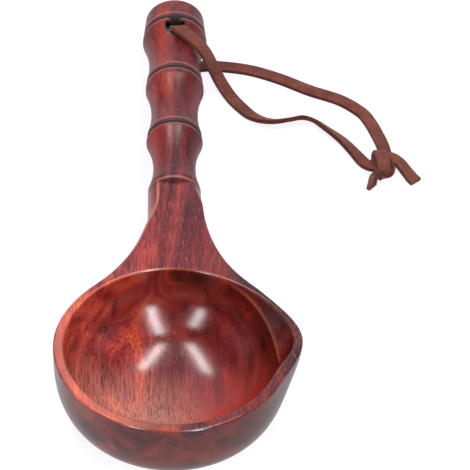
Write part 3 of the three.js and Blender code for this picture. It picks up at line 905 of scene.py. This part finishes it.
def wood_places(tree):
    """Shares that say where a point of the wood lies and which way it faces, by name."""
    coordinates = add_node(tree, "ShaderNodeTexCoord").outputs["Object"]
    spot = add_node(tree, "ShaderNodeSeparateXYZ", {"Vector": coordinates}).outputs
    normal = add_node(tree, "ShaderNodeNewGeometry").outputs["Normal"]
    facing = add_node(tree, "ShaderNodeSeparateXYZ", {"Vector": normal}).outputs
    end_grain = add_node(tree, "ShaderNodeMath", {0: facing["Y"]}, operation="ABSOLUTE")
    from_hole = add_node(tree, "ShaderNodeVectorMath", {
        0: coordinates,
        1: list(HOLE * MM),
    }, operation="SUBTRACT")
    level = add_node(tree, "ShaderNodeVectorMath", {
        0: from_hole.outputs[0],
        1: (1, 1, 0),
    }, operation="MULTIPLY")
    hole_reach = add_node(tree, "ShaderNodeVectorMath", {0: level.outputs[0]}, operation="LENGTH")
    shares = {}
    for name, value, start, end, least, most in (
        ("across", spot["X"], -40 * MM, 40 * MM, 0, 1),
        ("left_hollow", spot["X"], 16 * MM, -6 * MM, 0, 1),
        ("lip_side", spot["X"], -8 * MM, 18 * MM, 0, 0.65),
        ("left_flank", spot["X"], -4 * MM, -9 * MM, 0, 0.35),
        ("forward", spot["Y"], -65 * MM, -105 * MM, 0, 1),
        ("low_down", spot["Z"], 36 * MM, 28 * MM, 0, 1),
        ("facing_up", facing["Z"], 0.05, 0.6, 0, 0.6),
        ("shade_facing_front", facing["Y"], -0.3, -0.9, 0, 1),
        ("long_grain", end_grain.outputs[0], 0.9, 0.4, 0.2, 1),
        ("bore", hole_reach.outputs["Value"], BORE_SHADE_END * MM, BORE_SHADE_START * MM, 0, 1),
    ):
        shares[name] = add_node(tree, "ShaderNodeMapRange", {
            "Value": value,
            "From Min": start,
            "From Max": end,
            "To Min": least,
            "To Max": most,
        }).outputs[0]
    for name in ("hollow", "outside_wall", "shoulder", "wear_and_highlight"):
        shares[name] = add_node(tree, "ShaderNodeAttribute", attribute_name=name).outputs["Fac"]
    return shares


def lacquered_rosewood():
    """Red-stained hardwood under satin lacquer: the grain gives streaks and pores, the lacquer a sheen."""
    material, tree, bsdf = shader("lacquered_rosewood")
    share = wood_places(tree)
    fibre_pattern = pattern(tree, **FIBRES)

    # Colours that change over the wood: its broad figure, from dark red to orange, and what lies over it
    tints = {}
    for name, value, stops in (
        ("figure", pattern(tree, **FIGURE), [
            (0.34, linear("#681618")),
            (0.44, linear("#a0322d")),
            (0.54, linear("#c24840")),
            (0.64, linear("#e86442")),
        ]),
        # Painted shade: darker towards the lip's side
        ("sides", share["across"], [
            (0.05, linear("#ffffff")),
            (0.30, linear("#dcd0d0")),
            (0.42, linear("#c2b2b4")),
            (0.49, linear("#b0a2a4")),
            (0.58, linear("#b4a2a4")),
            (0.75, linear("#a68c8e")),
            (0.95, linear("#7c6064")),
        ]),
        ("streaks", pattern(tree, **STREAKS), [
            (0.30, linear("#a08a8a")),
            (0.50, linear("#e8e0e0")),
            (0.66, linear("#ffffff")),
        ]),
        # Painted shade and sheen on the outside wall: darker and bluer on the left, pinkish on the right
        ("outside", share["across"], [(0, linear("#a0b8cc")), (1, linear("#fce2ec"))]),
        ("painted_floor_light", share["left_hollow"], [(0, linear("#e04a38")), (1, linear("#f4b094"))]),
        ("fibres", fibre_pattern, [(0.34, linear("#806a6a")), (0.56, linear("#ffffff"))]),
        ("pores", pattern(tree, **PORES), [(0.30, grey(0.7)), (0.42, grey(0))]),
        ("flecks", pattern(tree, **FLECKS), [(0.54, grey(0)), (0.76, grey(0.32))]),
    ):
        tints[name] = add_node(tree, "ShaderNodeValToRGB", {"Fac": value}, stops=stops).outputs[0]

    # The grain is open along the wood, and closed on the lip's side of the hollow
    lip_hollow = add_node(tree, "ShaderNodeMath", {
        0: share["hollow"],
        1: share["lip_side"],
    }, operation="MULTIPLY").outputs[0]
    rest = add_node(tree, "ShaderNodeMath", {0: 1.0, 1: lip_hollow}, operation="SUBTRACT").outputs[0]
    open_grain = add_node(tree, "ShaderNodeMath", {
        0: share["long_grain"],
        1: rest,
    }, operation="MULTIPLY").outputs[0]

    # Layers over the figure: shares whose product is the layer's strength, colour, blend
    layers = [
        # Painted shade, darker towards the lip's side; streaks along the grain, which end grain lacks
        ([1.0], tints["sides"], "MULTIPLY"),
        ([share["long_grain"], STREAK_STRENGTH], tints["streaks"], "MULTIPLY"),
        # Painted shade on surfaces that face the front
        ([share["shade_facing_front"]], linear("#b4a09e"), "MULTIPLY"),
        # Painted shade and sheen on the outside wall
        ([share["outside_wall"]], tints["outside"], "MULTIPLY"),
        ([share["shoulder"]], linear("#d8f4f6"), "MULTIPLY"),
        # Painted shade: the hollow darker and redder on the lip's side
        ([lip_hollow], linear("#d089a2"), "MULTIPLY"),

        # Painted light: the front of the hollow's floor paler where it faces up, more so on the left
        ([share["forward"], share["facing_up"], share["low_down"]], tints["painted_floor_light"], "MIX"),

        # Fine fibres, and the short dark pores and pale flecks that lie along them
        ([open_grain, FIBRE_STRENGTH], tints["fibres"], "MULTIPLY"),
        ([tints["pores"], open_grain], linear("#3a0b0f"), "MIX"),
        ([tints["flecks"], open_grain], linear("#b8704e"), "MIX"),

        # Painted shade under each ring, a painted glint on the first internode's left flank, a painted shadow
        # under the collar's step, dark grooves, and their edges paler, partly worn and partly painted
        # highlight
        ([handle_marks(tree, RING_SHADE_AT_COLLAR, RING_SHADE_AT_GROOVE)], linear("#d09490"), "MULTIPLY"),
        # Painted glint on the first internode's left flank
        ([handle_marks(tree, GLINT_AT_COLLAR), share["left_flank"]], linear("#ac2c20"), "MIX"),
        # Painted shadow under the collar's step, and dark grooves
        ([handle_marks(tree, STEP_SHADOW_AT_COLLAR, DARK_AT_GROOVE)], linear("#1f0e10"), "MIX"),
        # Collar and groove edges paler, partly worn and partly painted highlight
        ([handle_marks(tree, WORN_AND_LIT_AT_COLLAR, WORN_AND_LIT_AT_GROOVE)], linear("#b07a6c"), "MIX"),

        # Edges of the rim and of the flat drawn paler, partly worn and partly painted highlight, and painted
        # shade in the bore of the hole
        ([share["wear_and_highlight"]], linear("#dc8a68"), "MIX"),
        # Painted shade in the bore of the hole
        ([share["bore"]], linear("#150a0b"), "MIX"),
    ]
    colour = tints["figure"]
    for factors, tint, blend in layers:
        strength = factors[0]
        for factor in factors[1:]:
            strength = add_node(tree, "ShaderNodeMath", {
                0: strength,
                1: factor,
            }, operation="MULTIPLY").outputs[0]
        colour = add_node(tree, "ShaderNodeMix", {
            "Factor": strength,
            MIX_UNDER: colour,
            MIX_OVER: tint,
        }, data_type="RGBA", blend_type=blend).outputs[MIX_RESULT]
    tree.links.new(colour, bsdf.inputs["Base Color"])

    # Glossy in the bowl, worn to satin on the handle, with fibres that can just be felt
    roughness = handle_marks(tree, ROUGH_AT_COLLAR, ROUGH_AT_GROOVE)
    tree.links.new(roughness, bsdf.inputs["Roughness"])
    bump = add_node(tree, "ShaderNodeBump", {
        "Height": fibre_pattern,
        "Strength": 0.1,
        "Distance": 0.1 * MM,
    })
    tree.links.new(bump.outputs[0], bsdf.inputs["Normal"])
    bsdf.inputs["Specular IOR Level"].default_value = 0.6
    return material


def cut_suede():
    """Red-brown suede cut to a lace: a matte nap that is lighter where it is brushed, with painted shade
    along its edges.
    """
    material, tree, bsdf = shader("cut_suede")
    nap = pattern(tree, **NAP)
    across = add_node(tree, "ShaderNodeAttribute", attribute_name="across")
    reach = add_node(tree, "ShaderNodeMath", {0: across.outputs["Fac"]}, operation="ABSOLUTE")
    colour = add_node(tree, "ShaderNodeValToRGB", {"Fac": pattern(tree, **BRUSHED)}, stops=[
        (0.35, linear("#683832")),
        (0.65, linear("#7e483d")),
    ]).outputs[0]
    for strength, value, stops in (
        (NAP_STRENGTH, nap, [(0.3, linear("#a89a98")), (0.7, linear("#ffffff"))]),
        # Painted shade near both edges of the strip
        (1.0, reach.outputs[0], [(0.86, linear("#ffffff")), (0.99, linear("#b09a98"))]),
    ):
        tint = add_node(tree, "ShaderNodeValToRGB", {"Fac": value}, stops=stops)
        colour = add_node(tree, "ShaderNodeMix", {
            "Factor": strength,
            MIX_UNDER: colour,
            MIX_OVER: tint.outputs[0],
        }, data_type="RGBA", blend_type="MULTIPLY").outputs[MIX_RESULT]
    tree.links.new(colour, bsdf.inputs["Base Color"])
    bump = add_node(tree, "ShaderNodeBump", {"Height": nap, "Strength": 0.6, "Distance": 0.3 * MM})
    tree.links.new(bump.outputs[0], bsdf.inputs["Normal"])
    bsdf.inputs["Roughness"].default_value = 0.95
    bsdf.inputs["Specular IOR Level"].default_value = 0.15
    bsdf.inputs["Sheen Weight"].default_value = 0.35
    bsdf.inputs["Sheen Roughness"].default_value = 0.5
    bsdf.inputs["Sheen Tint"].default_value = linear("#e0b8a0")
    return material


# Camera, floor, surround and lamps

def set_camera():
    data = bpy.data.cameras.new("camera")
    data.sensor_width = SENSOR
    data.lens = SENSOR * FOCAL_PIXELS / FRAME_PIXELS
    camera = new_object("camera", data)
    camera.location = Vector(CAMERA_AT) * MM
    camera.rotation_euler = Euler([angle * DEG for angle in CAMERA_TURN])
    bpy.context.scene.camera = camera


FLOOR_REACH = 3000
FLOOR_SEEN = 0.8
FLOOR_MIRRORED = 0.35
BOWL_MIDDLE = (-2, -75, 20)
LAMPS = [  # name, from, to, width, watts
    ("front_right", (340, -900, 25), (146, -355, 835), 100, 6.4),
    ("front_left", (-460, -830, 25), (-282, -516, 720), 105, 4.1),
    ("back_right", (119, -133, 910), (264, 349, 867), 75, 2.8),
    ("back_left", (-209, -147, 888), (-312, 393, 828), 85, 3),
]


def white_paper():
    """Matte paper, which shows white to the camera and pale in the lacquer, and keeps the ladle's shadow."""
    material, tree, bsdf = shader("white_paper")
    bsdf.inputs["Base Color"].default_value = linear("#8c8c8c")
    bsdf.inputs["Roughness"].default_value = 0.9
    bsdf.inputs["Emission Color"].default_value = linear("#fbf9ff")
    rays = add_node(tree, "ShaderNodeLightPath").outputs
    seen = add_node(tree, "ShaderNodeMath", {0: rays["Is Camera Ray"], 1: FLOOR_SEEN}, operation="MULTIPLY")
    mirrored = add_node(tree, "ShaderNodeMath", {
        0: rays["Is Glossy Ray"],
        1: FLOOR_MIRRORED,
    }, operation="MULTIPLY")
    lift = add_node(tree, "ShaderNodeMath", {
        0: seen.outputs[0],
        1: mirrored.outputs[0],
    }, operation="MAXIMUM")
    tree.links.new(lift.outputs[0], bsdf.inputs["Emission Strength"])
    return material


def set_floor():
    reach = FLOOR_REACH * MM
    corners = [(-reach, -reach, 0), (reach, -reach, 0), (reach, reach, 0), (-reach, reach, 0)]
    mesh = bpy.data.meshes.new("floor")
    mesh.from_pydata(corners, [], [(0, 1, 2, 3)])
    mesh.materials.append(white_paper())
    floor = new_object("floor", mesh)


def set_surround():
    """A white backdrop behind the ladle and white wings beside it, with a dimmer room in front."""
    world = bpy.data.worlds.new("surround")
    bpy.context.scene.world = world
    world.use_nodes = True
    sky = world.node_tree
    coordinates = add_node(sky, "ShaderNodeTexCoord")
    way = add_node(sky, "ShaderNodeSeparateXYZ", {"Vector": coordinates.outputs["Generated"]}).outputs
    sideways = add_node(sky, "ShaderNodeMath", {0: way["X"]}, operation="ABSOLUTE").outputs[0]
    share = {}
    for name, value, start, end, least, most in (
        ("backdrop", way["Y"], -0.3, 0.7, 0.08, 0.9),
        ("narrowed", sideways, 0.35, 0.7, 1, 0.4),
        ("wings", sideways, 0.7, 1, 0, 0.9),
    ):
        share[name] = add_node(sky, "ShaderNodeMapRange", {
            "Value": value,
            "From Min": start,
            "From Max": end,
            "To Min": least,
            "To Max": most,
        }).outputs[0]
    window = add_node(sky, "ShaderNodeMath", {
        0: share["backdrop"],
        1: share["narrowed"],
    }, operation="MULTIPLY")
    room = add_node(sky, "ShaderNodeMath", {0: window.outputs[0], 1: share["wings"]}, operation="MAXIMUM")
    rays = add_node(sky, "ShaderNodeLightPath")
    seen = add_node(sky, "ShaderNodeMath", {
        0: rays.outputs["Is Camera Ray"],
        1: room.outputs[0],
    }, operation="MAXIMUM")
    background = sky.nodes["Background"]
    background.inputs["Color"].default_value = linear("#ece8ff")
    sky.links.new(seen.outputs[0], background.inputs["Strength"])


def strip_lamp(name, start, end, width, watts):
    """A soft lamp from one place to another, in millimetres, which faces the bowl."""
    start, end = Vector(start) * MM, Vector(end) * MM
    middle = (start + end) / 2
    along = (end - start).normalized()
    back = middle - Vector(BOWL_MIDDLE) * MM
    back = (back - along * back.dot(along)).normalized()
    data = bpy.data.lights.new(name, "AREA")
    data.shape = "RECTANGLE"
    data.size, data.size_y = width * MM, (end - start).length
    data.energy = watts
    lamp = new_object(name, data)
    turn = Matrix((along.cross(back), along, back)).transposed()
    lamp.matrix_world = Matrix.Translation(middle) @ turn.to_4x4()
    lamp.visible_camera = False


# The object

set_camera()
suede = cut_suede()
lace_nodes, lace_sizes = lace_tree(suede)

upper_line = strip_line(UPPER_ROUTE, 0, UPPER_INTO_KNOT)
lower_line = strip_line(LOWER_ROUTE, 0, LOWER_INTO_KNOT)
knot_lines = [
    strip_line(UPPER_ROUTE, UPPER_INTO_KNOT, len(UPPER_ROUTE) - 1),
    strip_line(LOWER_ROUTE, LOWER_INTO_KNOT, len(LOWER_ROUTE) - 1),
]
upper_lace = lace_strip("lace_upper", [upper_line], lace_nodes, lace_sizes)
lower_lace = lace_strip("lace_lower", [lower_line], lace_nodes, lace_sizes)
knot = lace_strip("lace_knotted", knot_lines, lace_nodes, lace_sizes)

for piece, nodes in (
    (upper_lace, ["lace_upper_run"]),
    (lower_lace, ["lace_lower_run"]),
    (knot, ["lace_knot", "lace_long_tail", "lace_short_tail"]),
):
    if piece is not upper_lace:
        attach(piece, "lanyard")
    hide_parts(*nodes)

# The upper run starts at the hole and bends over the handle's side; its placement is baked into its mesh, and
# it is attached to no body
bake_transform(upper_lace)

body = ladle_body(lacquered_rosewood())
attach(body, "ladle")
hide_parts("ladle_body")

set_floor()
set_surround()
for lamp in LAMPS:
    strip_lamp(*lamp)
bpy.context.scene.view_settings.view_transform = "Standard"
